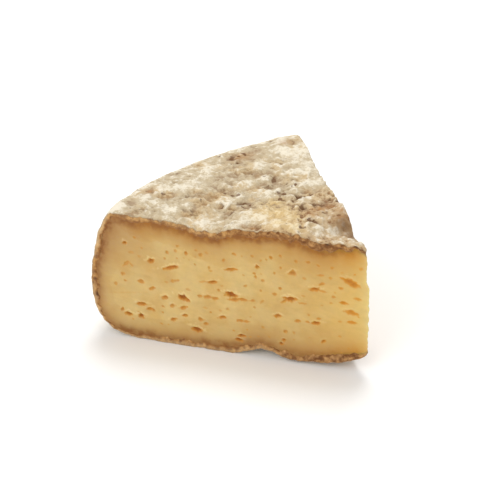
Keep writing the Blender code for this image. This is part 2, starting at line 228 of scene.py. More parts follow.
# Eyes of the first cut, in millimetres and degrees: distance from the tip, height, length, opening, tilt,
# and how deep it is for its size. The first is a long faint crack.
FIRST_CUT_EYES = (
    (85.2, 18.5, 16, 0.6, 9.6, 0.05), (86.8, 38.1, 1.7, 1.3, 10, 1.2), (84.5, 34.7, 2.2, 1.1, 0, 0.4),
    (86.4, 30.0, 3.4, 1.2, 42, 0.6), (84.6, 29.9, 2.4, 0.8, -48, 0.5), (77.2, 32.4, 2.6, 1.6, 18, 1),
    (81.5, 33.6, 1.2, 0.8, 0, 0.4), (69.9, 30.9, 5.6, 1.4, 20, 1), (68.9, 31.2, 3.4, 1.6, 16, 1),
    (72.0, 34.2, 0.9, 0.9, 40, 0.6), (71.2, 36.8, 1.2, 1.1, 20, 0.8), (68.0, 37.8, 1.3, 1.0, 0, 0.5),
    (64.3, 37.5, 1.2, 1.4, 0, 0.9), (67.3, 39.8, 1.2, 0.9, 10, 0.7), (68.3, 25.9, 3.7, 1.0, 15, 0.7),
    (71.6, 24.9, 1.5, 0.8, 0, 0.4), (63.5, 23.1, 1.8, 1.1, 0, 0.4), (87.9, 25.7, 1.4, 1.2, 0, 0.7),
    (87.0, 23.1, 1.2, 1.0, 0, 0.6), (81.1, 23.7, 2.3, 1.4, 0, 0.8), (90.8, 21.3, 1.2, 1.1, 0, 0.6),
    (76.9, 21.5, 2.4, 1.2, 15, 0.9), (72.1, 18.6, 2.3, 1.5, 5, 0.9), (65.6, 19.6, 3.4, 2.1, -4, 1.2),
    (63.9, 18.8, 2.0, 1.4, -30, 1), (69.5, 15.6, 1.7, 1.5, 0, 0.8), (65.5, 15.5, 2.7, 1.3, 18, 0.9),
    (64.8, 12.4, 2.1, 1.3, 10, 1), (69.2, 10.1, 2.4, 1.2, 25, 1), (81.3, 14.4, 3.8, 1.4, 5, 1),
    (78.2, 13.0, 2.2, 1.2, 20, 1), (76.7, 12.7, 2.0, 1.2, -30, 0.9), (88.4, 11.0, 1.4, 1.4, 0, 0.8),
    (86.1, 9.6, 2.7, 1.7, -5, 1.1), (81.4, 9.5, 2.3, 1.8, 10, 1.1), (82.3, 11.0, 1.0, 0.8, 0, 0.4),
    (60.4, 39.2, 1.1, 1.0, 0, 0.5), (58.8, 37.8, 1.4, 1.2, 0, 0.7), (55.7, 33.1, 1.0, 1.3, 0, 0.6),
    (55.1, 32.0, 1.2, 0.8, 0, 0.4), (50.4, 37.0, 1.2, 1.1, 20, 0.8), (46.7, 39.9, 1.4, 0.9, 10, 0.8),
    (47.9, 33.6, 4.4, 1.2, 10, 1), (38.2, 36.1, 1.5, 1.3, 0, 1), (39.2, 33.4, 1.1, 1.0, 0, 0.8),
    (38.8, 32.3, 1.1, 1.2, 0, 0.8), (33.4, 40.7, 1.3, 1.1, 0, 0.9), (35.0, 39.6, 0.9, 0.8, 0, 0.6),
    (36.2, 31.2, 1.7, 0.9, 10, 0.6), (43.2, 32.2, 0.9, 0.8, 0, 0.4), (42.5, 28.0, 1.7, 0.9, 25, 0.6),
    (54.5, 27.5, 3.4, 1.3, 15, 1.1), (58.0, 27.2, 3.6, 0.7, 8, 0.4), (52.3, 24.7, 1.0, 1.2, 0, 0.6),
    (47.8, 23.6, 4.2, 2.1, -3, 1.1), (46.6, 21.9, 3.8, 1.4, 8, 0.9), (43.6, 22.4, 4.4, 1.1, 0, 0.9),
    (39.8, 22.6, 1.6, 1.0, 0, 0.7), (36.3, 22.9, 1.7, 0.8, 45, 0.6), (32.1, 26.4, 1.9, 1.0, 5, 0.8),
    (59.1, 21.3, 1.8, 1.0, 0, 0.8), (56.3, 21.4, 3.2, 1.4, 5, 0.8), (53.5, 21.2, 2.6, 1.2, 5, 0.8),
    (49.0, 17.7, 1.2, 1.2, 0, 0.5), (57.2, 16.8, 1.8, 0.8, 0, 0.3), (50.9, 14.1, 2.4, 1.4, 15, 1),
    (44.3, 13.8, 2.4, 1.1, 3, 0.9), (42.1, 13.8, 2.4, 1.0, 3, 0.8), (36.1, 12.6, 1.1, 1.0, 0, 0.5),
    (58.9, 11.8, 2.2, 1.3, 0, 0.8), (57.2, 10.4, 1.7, 1.1, 20, 0.9), (60.5, 7.4, 4.0, 2.0, -15, 1.1),
    (44.1, 7.7, 2.8, 1.2, 10, 1.6), (44.7, 5.9, 3.0, 1.2, 0, 1.8), (30.7, 18.0, 2.6, 1.4, 5, 1),
    (30.0, 41.8, 1.2, 1.0, 0, 0.7), (24.4, 40.6, 1.3, 0.9, 0, 0.8), (20.1, 40.9, 1.6, 1.0, 0, 0.8),
    (16.6, 40.2, 1.3, 0.9, 0, 0.7), (11.6, 40.1, 1.3, 0.9, 10, 0.7), (2.2, 41.2, 1.4, 1.1, 0, 0.6),
    (25.5, 35.8, 2.9, 1.7, 25, 0.8), (21.3, 34.4, 1.3, 0.9, 0, 0.5), (15.8, 36.5, 1.9, 0.9, 15, 0.7),
    (12.2, 36.0, 1.4, 0.9, 0, 0.6), (15.1, 33.2, 2.3, 1.1, 30, 0.8), (8.6, 32.6, 1.3, 1.2, 30, 0.8),
    (7.8, 36.4, 2.4, 0.9, -12, 0.9), (5.9, 35.6, 3.6, 2.3, -16, 0.9), (4.7, 34.7, 2.8, 2.2, -18, 0.9),
    (30.0, 29.1, 1.3, 1.1, 10, 0.8), (17.5, 30.7, 3.4, 1.5, 0, 1), (14.9, 30.4, 3.0, 0.8, -5, 0.7),
    (10.9, 28.8, 1.4, 1.1, 0, 0.7), (3.7, 29.4, 1.8, 1.1, 0, 0.8), (7.7, 27.0, 2.2, 1.3, 0, 1),
    (26.4, 25.3, 4.4, 1.9, 2, 1), (28.3, 24.4, 2.8, 1.1, 38, 0.9), (22.0, 24.5, 3.2, 0.8, 0, 0.6),
    (5.2, 23.4, 4.2, 1.5, -8, 0.9), (5.6, 23.9, 2.2, 1.7, 0, 0.9), (5.1, 19.8, 2.4, 1.2, 5, 0.9),
    (16.1, 19.3, 1.8, 0.9, 15, 0.8), (16.9, 17.4, 3.4, 1.4, 8, 1.2), (20.0, 17.4, 1.8, 0.9, 0, 0.7),
    (23.5, 17.1, 1.9, 1.1, 10, 0.9), (27.9, 12.2, 1.6, 1.2, 0, 0.8), (14.2, 10.5, 2.0, 1.1, 40, 1.4),
    (28.4, 8.7, 1.5, 1.1, 20, 1.6), (29.2, 7.0, 1.4, 1.1, 0, 1.8),
)
# Eyes of the second cut follow a rule, and so do the smallest ones of both. They lie between these
# distances from the tip and these heights.
SECOND_CUT_EYES, SECOND_CUT_SEED = 32, 11
EYES_ALONG, EYES_UP = (7, 90), (8, 41)
SMALL_EYES, FIRST_SMALL_SEED, SECOND_SMALL_SEED = 45, 5, 6
SMALL_ALONG, SMALL_UP = (3, 88), (7, 41)
# How deep an eye is for its opening, and how much its outline wavers, coarsely and finely, with other
# noise on the second cut than on the first.
EYE_DEPTH_SHARE, DEEPEST_EYE, EYE_POWER = 0.55, 1.4 * MM, 1.7
WAVER, WAVER_SIZE = 0.36, 1.4 * MM
FINE_WAVER, FINE_WAVER_SIZE = 0.3, 0.75 * MM
FIRST_WAVER_SALT, SECOND_WAVER_SALT = 0, 300

# Relief of the cut paste: the knife's ripples, the curd's grain and the lips of the eyes.
KNIFE_RISE, KNIFE_SIZE = 0.07 * MM, 9 * MM
CURD_RISE, CURD_SIZE = 0.03 * MM, 2.4 * MM
LIP_RISE = 0.03 * MM
# The knife's streaks rise this much towards the tip.
STREAK_TILT = radians(-9)
# How far from the tip a glow of light coming through the paste is painted, its relief fades out, and it has
# dried less.
TIP_GLOW, TIP_FADE, TIP_FRESH = 10 * MM, 1.6 * MM, 2.5 * MM

# What the rind's finish reads from its mesh: of the skin, and of the cuts through it.
SKIN_VALUES = ("mould", "patch", "pit", "shaded_wall", "ochre", "rust", "warm")
BAND_VALUES = ("section", "inner", "crumb", "shade", "dark_line_and_shadow", "edge")

# The photograph's view: where the camera looks, from where, and how long its lens is.
VIEW_AZIMUTH, VIEW_ELEVATION, VIEW_DISTANCE = radians(17), radians(28), 0.7
VIEW_TARGET_FROM_TIP = Vector((-50.447, 31.490, 24.908)) * MM
LENS, SENSOR = 138.97, 36

# The room's light, and two soft boxes, each with its place, size and watts, aimed at the wedge's middle.
ROOM_LIGHT = 0.65
KEY_LIGHT = ((-0.08, 0.32, 0.78), 0.45, 3.9)
FILL_LIGHT = ((-0.32, -0.85, 0.5), 0.7, 4.2)
LIGHTS_AIM = Vector((0, 0, 0.025))


def hashed(cells, salt):
    """A repeatable random number from 0 to 1 for each whole-numbered cell of a lattice."""
    x, y, z = np.moveaxis(cells.astype(np.int64).astype(np.uint32), -1, 0)
    n = x * np.uint32(73856093) ^ y * np.uint32(19349663) ^ z * np.uint32(83492791)
    n = n ^ np.uint32(salt * 7919 + 17)
    n = (n ^ (n >> np.uint32(15))) * np.uint32(2246822519)
    n = (n ^ (n >> np.uint32(13))) * np.uint32(3266489917)
    return (n ^ (n >> np.uint32(16))).astype(float) / 0xFFFFFFFF


def noise(points, size, salt=0):
    """Smooth noise, about -1 to 1, in lumps of this size: random slopes at a lattice's corners, blended.

    salt makes one noise unlike another.
    """
    scaled = points / size
    low = np.floor(scaled)
    inside = scaled - low
    ease = inside**3 * (inside * (inside * 6 - 15) + 10)
    total = np.zeros(points.shape[:-1])
    for corner in product((0, 1), repeat=3):
        share = np.prod(np.where(corner, ease, 1 - ease), axis=-1)
        slope = 2 * np.stack([hashed(low + corner, salt + axis) for axis in range(3)], axis=-1) - 1
        total += share * ((inside - corner) * slope).sum(-1)
    return total * 1.7


def bump(distance, width):
    """A bell curve, 1 in the middle."""
    return np.exp(-((distance / width) ** 2))


def ease_step(value, start, end):
    """From 0 at start to 1 at end, along an S."""
    share = np.clip((value - start) / (end - start), 0, 1)
    return share * share * (3 - 2 * share)


def settled_height(radius, swing, height):
    """The height in the pressed wheel of a point of the plain one. swing is 0 at the first cut, then 1.

    Bell curves of the radius raise and sink the top in rings, and lift the foot in a notch and towards the
    tip. A point in between moves by its share of the two.
    """
    top = (
        RIM_RISE * (0.2 + 0.8 * swing) * bump(radius - RIM_RISE_RADIUS, RIM_RISE_WIDTH)
        - RIM_SAG * np.sin(pi * swing) * ease_step(radius, RIM_START, BELLY_RADIUS - TOP_SHOULDER)
        - TROUGH_DROP * (1 - 0.7 * swing) * bump(radius - TROUGH_RADIUS, TROUGH_WIDTH)
        + RIDGE_LIFT * bump(radius - RIDGE_RADIUS, RIDGE_WIDTH)
        - GROOVE_DROP * bump(radius - GROOVE_RADIUS, GROOVE_WIDTH)
    )
    # The middle sinks towards the second cut, down a slope from the tip to a wall.
    shelf = ease_step(radius, SHELF_START, SHELF_WALL) * (1 - ease_step(radius, SHELF_WALL, SHELF_END))
    top = top - SHELF_DROP * swing * shelf
    notch = NOTCH_LIFT * (1 - 0.7 * swing) * bump(radius - NOTCH_RADIUS, NOTCH_WIDTH)
    foot = notch + CUP_LIFT * np.exp(-radius / CUP_WIDTH)
    share = height / WHEEL_HEIGHT
    return height + share * top + (1 - share) * foot


def heel_outline(shares):
    """The plain heel at these shares of its length, from the top down: two quarter superellipses."""
    angles = np.linspace(0, pi / 2, HEEL_SAMPLES)
    upper = np.stack([
        BELLY_RADIUS - TOP_SHOULDER + TOP_SHOULDER * np.sin(angles) ** (2 / TOP_POWER),
        BELLY_HEIGHT + (WHEEL_HEIGHT - BELLY_HEIGHT) * np.cos(angles) ** (2 / TOP_POWER),
    ])
    lower = np.stack([
        BELLY_RADIUS - FOOT_SHOULDER + FOOT_SHOULDER * np.cos(angles) ** (2 / FOOT_POWER),
        BELLY_HEIGHT - BELLY_HEIGHT * np.sin(angles) ** (2 / FOOT_POWER),
    ])
    radius, height = np.concatenate([upper, lower[:, 1:]], axis=1)
    along = np.concatenate([[0], np.cumsum(np.hypot(np.diff(radius), np.diff(height)))])
    along /= along[-1]
    return np.interp(shares, along, radius), np.interp(shares, along, height)


def plain_outline(shares):
    """Radius, height and outward direction of the plain wheel's outline.

    A share of 0 is the middle of the top, 1 the shoulder, 2 the foot's edge and 3 the middle of the foot.
    """
    radius, height = heel_outline(np.clip(shares - 1, 0, 1))
    radius = np.where(shares < 1, (BELLY_RADIUS - TOP_SHOULDER) * shares, radius)
    radius = np.where(shares > 2, (BELLY_RADIUS - FOOT_SHOULDER) * (3 - shares), radius)
    step = 0.004
    before = heel_outline(np.clip(shares - 1 - step, 0, 1))
    after = heel_outline(np.clip(shares - 1 + step, 0, 1))
    out, up = before[1] - after[1], after[0] - before[0]
    length = np.maximum(np.hypot(out, up), 1e-9)
    on_heel = (shares >= 1) & (shares <= 2)
    out = np.where(on_heel, out / length, 0)
    up = np.where(on_heel, up / length, np.where(shares < 1, 1, -1))
    return radius, height, out, up


def in_wheel(radius, swing, height):
    """The point in the wheel's own frame, where the second cut lies along +X. Noise is read there."""
    angle = WEDGE_ANGLE * (1 - swing)
    return np.stack([radius * np.cos(angle), radius * np.sin(angle), height], axis=-1)


def tip_shift(radius, height):
    """How far the tip's edge strays beyond the wheel's axis: a chipped bulge and two noises, rounded off.

    Each part fades out with the distance from the tip, as a bell curve.
    """
    edge = np.stack([0 * height, 0 * height, height], axis=-1)
    stray = TIP_WAVE * noise(edge, TIP_WAVE_SIZE, salt=80) + TIP_JAG * noise(edge, TIP_JAG_SIZE, salt=84)
    chipped = 1 - TIP_CHIP_SHARE * ease_step(height, *TIP_CHIP)
    topped = 1 - TIP_TOP_SHARE * ease_step(height, *TIP_TOP)
    bulge = TIP_BULGE * ease_step(height, *TIP_FOOT) * chipped * topped
    return (bulge + stray) * bump(radius, TIP_SPREAD) - TIP_ROUNDING * bump(radius, TIP_ROUNDNESS)


def in_part(radius, swing, height):
    """The point in the part's frame, where the first cut lies along -X from the tip and faces -Y.

    The tip's edge is shifted along the first cut, away from the wheel.
    """
    angle = WEDGE_ANGLE * swing
    along = TIP_X - radius * np.cos(angle) + tip_shift(radius, height)
    return np.stack([along, CUT_Y + radius * np.sin(angle), height], axis=-1)


def patch_weight(patches, radius, swing, rough):
    """How far into any of these patches a point is: a bell curve, 1 in the middle, on a rough ellipse."""
    weight = np.zeros(np.broadcast(radius, swing).shape)
    for patch_radius, degrees, half_length, half_width in patches:
        across = (radius / MM - patch_radius) / half_width
        round_it = patch_radius * (swing * WEDGE_ANGLE - radians(degrees)) / half_length
        weight = np.maximum(weight, np.exp(-(across**2 + round_it**2) * (1 + 0.5 * rough)))
    return weight


def rind_growth(shares, radius, swing, height):
    """What grows on the rind and gapes in it, from 0 to 1. Wrinkles, grain and crags are plain noise.

    Mould is a sum of noises from 9 down to 1 mm, shifted by the patches, and broken up by a noise of its
    own in craggy patches. It is raised towards cream along the rim, partly thicker mould and partly a
    painted highlight of the light from behind. Pits are the peaks of a fine noise, helped by the dark
    spots, and the hollows between crags. Creases run where another noise crosses zero, in places. Most
    noises are read at points bent aside by a slower one.
    """
    place = in_wheel(radius, swing, height)
    bend = np.stack([noise(place, BEND_SIZE, salt=60 + axis) for axis in (0, 3, 6)], axis=-1)
    bent = place + BEND_REACH * bend
    middling = noise(bent, MIDDLING_SIZE, salt=34)
    wrinkles = noise(bent, WRINKLE_SIZE, salt=38)
    grain = noise(place, GRAIN_SIZE, salt=58)
    crags = noise(bent, CRAG_SIZE, salt=74)
    on_top = ease_step(shares, *TOP_FADE)
    mould_patch, bare_patch, ochre, craggy, spot, rust, shaded_wall = (
        patch_weight(patches, radius, swing, rough) * on_top
        for patches, rough in (
            (MOULD_PATCHES, middling),
            (BARE_PATCHES, middling),
            (OCHRE_PATCHES, middling),
            (CRAGGY_PATCHES, middling),
            (DARK_SPOTS, wrinkles),
            (RUST_PATCHES, wrinkles),
            (SHADED_WALL_PATCHES, 0.5 * wrinkles),
        )
    )
    rim = bump(shares - RIM_SHARE, RIM_SPREAD)
    warm = (1 - ease_step(radius + WARM_WAVER * middling, *WARM_RADII)) * (1 - 0.7 * mould_patch)

    uneven = 0.24 * noise(bent, BROAD_SIZE, salt=30) + 0.46 * middling + 0.58 * wrinkles + 0.32 * grain
    patches = 0.8 * mould_patch - 0.65 * bare_patch + craggy * (1.6 * crags - 0.05)
    # Along the rim the cover is raised towards cream: partly thicker mould, partly a painted highlight of
    # the light from behind.
    cover = uneven * (1 - 0.6 * mould_patch) + patches - 0.1 * warm + 0.75 * rim - 0.02
    crevices = (1 + 0.6 * spot) * (noise(bent, PIT_SIZE, salt=50) + 0.45 * grain)
    crevices += 0.25 * bare_patch - 0.3 * mould_patch + spot - 0.6 * rim
    between_crags = craggy * ease_step(-crags + 0.5 * wrinkles, 0.1, 0.4)
    hollow = np.maximum(ease_step(crevices, 0.5, 1.0), between_crags)
    creased = ease_step(noise(place, CREASED_SIZE, salt=46), -0.1, 0.5) * ease_step(radius, *CREASED_RADII)
    crease = bump(noise(bent, CREASE_SIZE, salt=42), 0.13) * creased
    return {
        "mould": np.clip(0.5 + 0.5 * cover, 0, 1),
        "patch": mould_patch,
        "pit": np.maximum(hollow * (0.76 + 0.64 * craggy), 0.5 * crease),
        "shaded_wall": shaded_wall,
        "ochre": ochre,
        "rust": rust * (0.5 + 0.5 * ease_step(wrinkles + 0.6 * grain, -0.4, 0.5)),
        "warm": warm,
        "hollow": hollow,
        "crease": crease,
        "wrinkles": wrinkles,
        "grain": grain,
        "crags": craggy * crags,
        "rim": rim,
    }


def rind_skin(shares, swing):
    """The rind's outer surface: the plain outline, pressed, then raised and sunk straight outwards.

    The relief adds up mould, wrinkles, grain and crags, less pits and creases. It is weaker on the rim and
    below it, most of all beside the first cut, and it drops at the cuts' edges and at the tip. Returns
    radius, height and what the finish reads.
    """
    radius, height, out, up = plain_outline(shares)
    # The axis is one point whatever the swing, so both cuts meet in one edge.
    swing = np.where(radius > 0, swing, 0.5)
    place = in_wheel(radius, swing, height)
    lumps = sum(depth * noise(place, size, salt=i * 5) for i, (size, depth) in enumerate(RIND_RELIEF))
    lumps = np.where(height < FOOT_PRESS, lumps + FOOT_PRESS, lumps)
    outward = ease_step(radius, BELLY_RADIUS - 2 * TOP_SHOULDER, BELLY_RADIUS)
    upward = np.where(height > BELLY_HEIGHT, 1.0, -1.0) * (1 - outward)

    grown = rind_growth(shares, radius, swing, height)
    relief = (
        MOULD_RISE * (grown["mould"] - 0.5)
        - PIT_DEPTH * grown["hollow"]
        - CREASE_DEPTH * grown["crease"]
        + WRINKLE_HEIGHT * grown["wrinkles"]
        + GRAIN_HEIGHT * grown["grain"]
        + CRAG_HEIGHT * grown["crags"]
    )
    past_first_cut = ease_step(shares, *CALMEST_TO) * ease_step(swing, 0.05, 0.3)
    calm = ease_step(shares, *CALM_FROM) * (1 - 0.6 * past_first_cut)
    relief = relief * (1 - 0.65 * calm) * (1 - 0.5 * grown["rim"])
    from_cut = radius * np.sin(WEDGE_ANGLE * np.minimum(swing, 1 - swing))
    at_edge = np.clip(1 - from_cut / CUT_EDGE_WIDTH, 0, 1) ** 2
    relief -= CUT_EDGE_DROP * at_edge * (1 + 0.8 * noise(place, CUT_EDGE_GRAIN, salt=70))
    relief -= TIP_WEAR * bump(radius, TIP_WEAR_WIDTH)

    height = settled_height(radius, swing, height) + lumps * upward + relief * up
    radius = radius * (1 + lumps * outward / np.maximum(radius, TOP_SHOULDER)) + relief * out
    flow = {name: grown[name] for name in SKIN_VALUES}
    # The heel's skin beside a cut is painted with the cut rind's paler colour: painted light against the
    # shade it falls in there.
    flow["section"] = 0.9 * np.sqrt(at_edge) * ease_step(shares, *PAINTED_LIGHT_FROM)
    flow["edge"] = 0.7
    return radius, np.maximum(height, 0), flow


def along_outline(shares, top, foot, heel):
    """What three tables say along the outline: by radius on the top and foot, by height on the heel."""
    radius, height = plain_outline(shares)[:2]
    over = np.interp(radius / MM, *zip(*top))
    under = np.interp(radius / MM, *zip(*foot))
    round_heel = np.interp(height / MM, *zip(*heel))
    on_heel = ease_step(shares, *HEEL_FROM) - ease_step(shares, *HEEL_TO)
    return np.where(shares < 1.5, over, under) * (1 - on_heel) + round_heel * on_heel


def rind_depth(shares):
    """How thick the rind is where a cut crosses it, without its raggedness."""
    return along_outline(shares, TOP_RIND, FOOT_RIND, HEEL_RIND) * MM


def drying_depth(shares):
    """How far in the paste has dried behind the rind."""
    return along_outline(shares, TOP_DRYING, FOOT_DRYING, HEEL_DRYING) * MM


def line_strength(shares):
    """How dark the line right behind the rind is, from 0 to 1: partly brown, partly painted shadow under
    the rind.
    """
    return along_outline(shares, TOP_LINE, FOOT_LINE, HEEL_LINE)


def inside_skin(shares, swing, depth):
    """Radius and height of the points this deep under the skin."""
    radius, height, _ = rind_skin(shares, swing)
    out, up = plain_outline(shares)[2:]
    return np.maximum(radius - depth * out, 0), height - depth * up


def grid_triangles(rows, columns):
    """Two triangles for each cell of a grid of points, as rows of three numbers."""
    number = np.arange(rows * columns).reshape(rows, columns)
    a, b, c, d = number[:-1, :-1], number[1:, :-1], number[1:, 1:], number[:-1, 1:]
    cells = np.stack([np.stack([a, b, c], axis=-1), np.stack([a, c, d], axis=-1)])
    return cells.reshape(-1, 3)


def fan_points(rings):
    """Ring and share round of each point of a fan whose ring number n has n + 1 points."""
    ring, place = np.tril_indices(rings + 1)
    return ring, np.where(ring > 0, place / np.maximum(ring, 1), 0.5)


def fan_triangles(rings):
    """The triangles of that fan: one on each step of a ring, pointing in, and those between them."""
    ring, place = np.tril_indices(rings)
    start, after = ring * (ring + 1) // 2, (ring + 1) * (ring + 2) // 2
    inward = np.stack([start + place, after + place, after + place + 1], axis=-1)
    between = np.stack([start + place, after + place + 1, start + place + 1], axis=-1)[place < ring]
    return np.concatenate([inward, between])


def closed_piece(name, sheets):
    """One closed mesh object of several sheets of points, triangles and values, joined where they meet.

    Its faces are made to agree, and all are turned over if the volume inside comes out negative, so that
    they look outward.
    """
    points = np.concatenate([sheet[0].reshape(-1, 3) for sheet in sheets])
    starts = np.cumsum([0] + [sheet[0].size // 3 for sheet in sheets[:-1]])
    triangles = np.concatenate([sheet[1] + start for sheet, start in zip(sheets, starts)])
    mesh = bpy.data.meshes.new(name)
    mesh.vertices.add(len(points))
    mesh.vertices.foreach_set("co", points.ravel())
    mesh.loops.add(triangles.size)
    mesh.loops.foreach_set("vertex_index", triangles.ravel().astype(np.int32))
    mesh.polygons.add(len(triangles))
    mesh.polygons.foreach_set("loop_start", np.arange(0, triangles.size, 3, dtype=np.int32))
    mesh.update(calc_edges=True)
    for value in sheets[0][2]:
        layer = mesh.attributes.new(value, "FLOAT", "POINT")
        numbers = [np.broadcast_to(sheet[2][value], sheet[0].shape[:-1]).ravel() for sheet in sheets]
        layer.data.foreach_set("value", np.concatenate(numbers).astype(np.float32))
    shape = bmesh.new()
    shape.from_mesh(mesh)
    bmesh.ops.remove_doubles(shape, verts=shape.verts, dist=1e-7)
    bmesh.ops.recalc_face_normals(shape, faces=shape.faces)
    if shape.calc_volume(signed=True) < 0:
        bmesh.ops.reverse_faces(shape, faces=shape.faces)
    shape.to_mesh(mesh)
    shape.free()
    mesh.shade_smooth()
    piece = bpy.data.objects.new(name, mesh)
    bpy.context.scene.collection.objects.link(piece)
    return piece


def off_cut(points, swing, distance):
    """Moves points straight out of the first cut (swing 0) or the second (swing 1) by a distance."""
    angle = WEDGE_ANGLE * swing
    side = 1 if swing else -1
    outward = np.array([side * sin(angle), side * cos(angle), 0])
    return points + distance[..., None] * outward


def nicks(radius, height):
    """How far into a nick of the first cut's rind each point is, from 0 to 1."""
    weight = np.zeros(radius.shape)
    for distance, level, half_length, half_height in RIND_NICKS:
        reach = np.hypot((radius / MM - distance) / half_length, (height / MM - level) / half_height)
        weight = np.maximum(weight, bump(reach, 1))
    return weight


def cut_band(swing):
    """The rind where a cut crosses it: crumbly, a little proud of the paste, its inner edge tucked behind.

    Crumbs are two noises, stronger towards the inner edge and weaker low on the heel. A point stands out of
    the cut by a small step and by the soft positive part of the crumbs.
    """
    shares = outline_shares()[:, None]
    along = np.linspace(0, 1, BAND_STEPS + 1)[None, :]
    edge_radius, edge_height, flow = rind_skin(shares, swing)
    edge = in_wheel(edge_radius, swing, edge_height)
    ragged = noise(edge, RAGGED_SIZE, salt=90) + 0.9 * noise(edge, FINE_RAGGED_SIZE, salt=94)
    thick = np.maximum(rind_depth(shares) + RIND_RAGGEDNESS * ragged, THINNEST_RIND)
    depth = along * (thick + RIND_TUCK)
    radius, height = inside_skin(shares, swing, depth)
    place = in_wheel(radius, swing, height)
    low_heel = ease_step(shares, *LOW_HEEL_FROM) - ease_step(shares, *LOW_HEEL_TO)
    coarse = noise(edge + 0.75 * (place - edge), CRUMB_SIZE, salt=98)
    coarse = coarse * (0.7 + 0.5 * np.clip(depth / thick, 0, 1))
    crumb = (coarse + 0.6 * noise(place, FINE_CRUMB_SIZE, salt=102)) * (1 - 0.6 * low_heel)
    if swing == 0:
        # Nicks are painted dark, as the shade in these hollows.
        crumb = crumb - 2.2 * nicks(radius, height)
    proud = (RIND_PROUD + CRUMB_RISE * np.log1p(np.exp(3 * crumb)) / 3) * ease_step(depth, 0, PROUD_WIDTH)
    proud = proud - (proud + TUCK_DEPTH) * ease_step(depth, thick - TUCK_START, thick + RIND_TUCK)
    proud = proud * ease_step(radius, 0, PROUD_FROM_TIP)
    points = off_cut(in_part(radius, swing, height), swing, proud)
    pale_edge = along_outline(shares, TOP_EDGE, FOOT_EDGE, HEEL_EDGE)
    values = flow | {
        "section": ease_step(depth, 0, SKIN_WIDTH),
        "inner": np.clip(depth / thick, 0, 1.5),
        "crumb": crumb,
        "shade": along_outline(shares, TOP_SHADE, FOOT_SHADE, HEEL_SHADE),
        "dark_line_and_shadow": line_strength(shares),
        "edge": pale_edge * (1 - ease_step(depth / thick, 0.3, 1.1)),
    }
    return points, grid_triangles(*radius.shape), values


def outline_shares():
    """The steps along the whole outline, as the faces and the heel take them."""
    return np.concatenate([
        np.linspace(0, 1, FACE_RINGS + 1),
        np.linspace(1, 2, HEEL_RINGS + 1)[1:-1],
        np.linspace(2, 3, FACE_RINGS + 1),
    ])


def hidden_wall(shares, depth, first, last):
    """A wall inside the wedge, at a depth under the skin, from the points of one cut to the other's."""
    slices = [first]
    for swing in WALL_SWINGS:
        radius, height = inside_skin(shares, swing, depth)
        slices.append(in_part(radius, swing, height))
    wall = np.stack(slices + [last], axis=1)
    return wall, grid_triangles(*wall.shape[:2])


def rind():
    """The whole rind as one closed shell: two faces, the heel, a band on each cut, a coarse inner wall."""
    rows, columns = np.linspace(1, 2, HEEL_RINGS + 1)[:, None], np.linspace(0, 1, FACE_RINGS + 1)[None, :]
    ring, swing = fan_points(FACE_RINGS)
    outer = []
    for shares, round_it, triangles in (
        (ring / FACE_RINGS, swing, fan_triangles(FACE_RINGS)),
        (rows, columns, grid_triangles(HEEL_RINGS + 1, FACE_RINGS + 1)),
        (3 - ring / FACE_RINGS, swing, fan_triangles(FACE_RINGS)),
    ):
        radius, height, flow = rind_skin(*np.broadcast_arrays(shares, round_it))
        values = dict.fromkeys(BAND_VALUES, 0.0) | flow
        outer.append((in_part(radius, round_it, height), triangles, values))
    bands = [cut_band(0), cut_band(1)]
    shares = outline_shares()
    wall = hidden_wall(shares, rind_depth(shares) + RIND_TUCK, bands[0][0][:, -1], bands[1][0][:, -1])
    return closed_piece("tomme_rind", outer + bands + [(*wall, {name: 0.0 for name in outer[0][2]})])


def second_cut_eyes():
    """Rows of numbers like the first cut's, for eyes no two of which are close, mostly small and flat."""
    draw = np.random.default_rng(SECOND_CUT_SEED)
    eyes = []
    while len(eyes) < SECOND_CUT_EYES:
        distance, height = draw.uniform(*EYES_ALONG), draw.uniform(*EYES_UP)
        length = 2 + 4.5 * draw.random() ** 2.2
        opening = length * draw.uniform(0.32, 0.6) if length < 3.5 else draw.uniform(1.2, 2.4)
        tilt = draw.normal(0, 12)
        if all(np.hypot(distance - e[0], 1.6 * (height - e[1])) > 4 + (length + e[2]) / 2 for e in eyes):
            eyes.append((distance, height, length, opening, tilt, draw.uniform(0.7, 1.1)))
    return eyes


def small_eyes(seed, among):
    """More such rows, for the smallest eyes, placed at random clear of the others."""
    draw = np.random.default_rng(seed)
    eyes = []
    while len(eyes) < SMALL_EYES:
        distance, height = draw.uniform(*SMALL_ALONG), draw.uniform(*SMALL_UP)
        length = draw.uniform(0.6, 1.1)
        taken = among + eyes
        if all(np.hypot(distance - e[0], 1.4 * (height - e[1])) > 1.2 + (length + e[2]) / 2 for e in taken):
            opening = length * draw.uniform(0.6, 1)
            eyes.append((distance, height, length, opening, draw.normal(5, 15), draw.uniform(0.3, 0.8)))
    return eyes


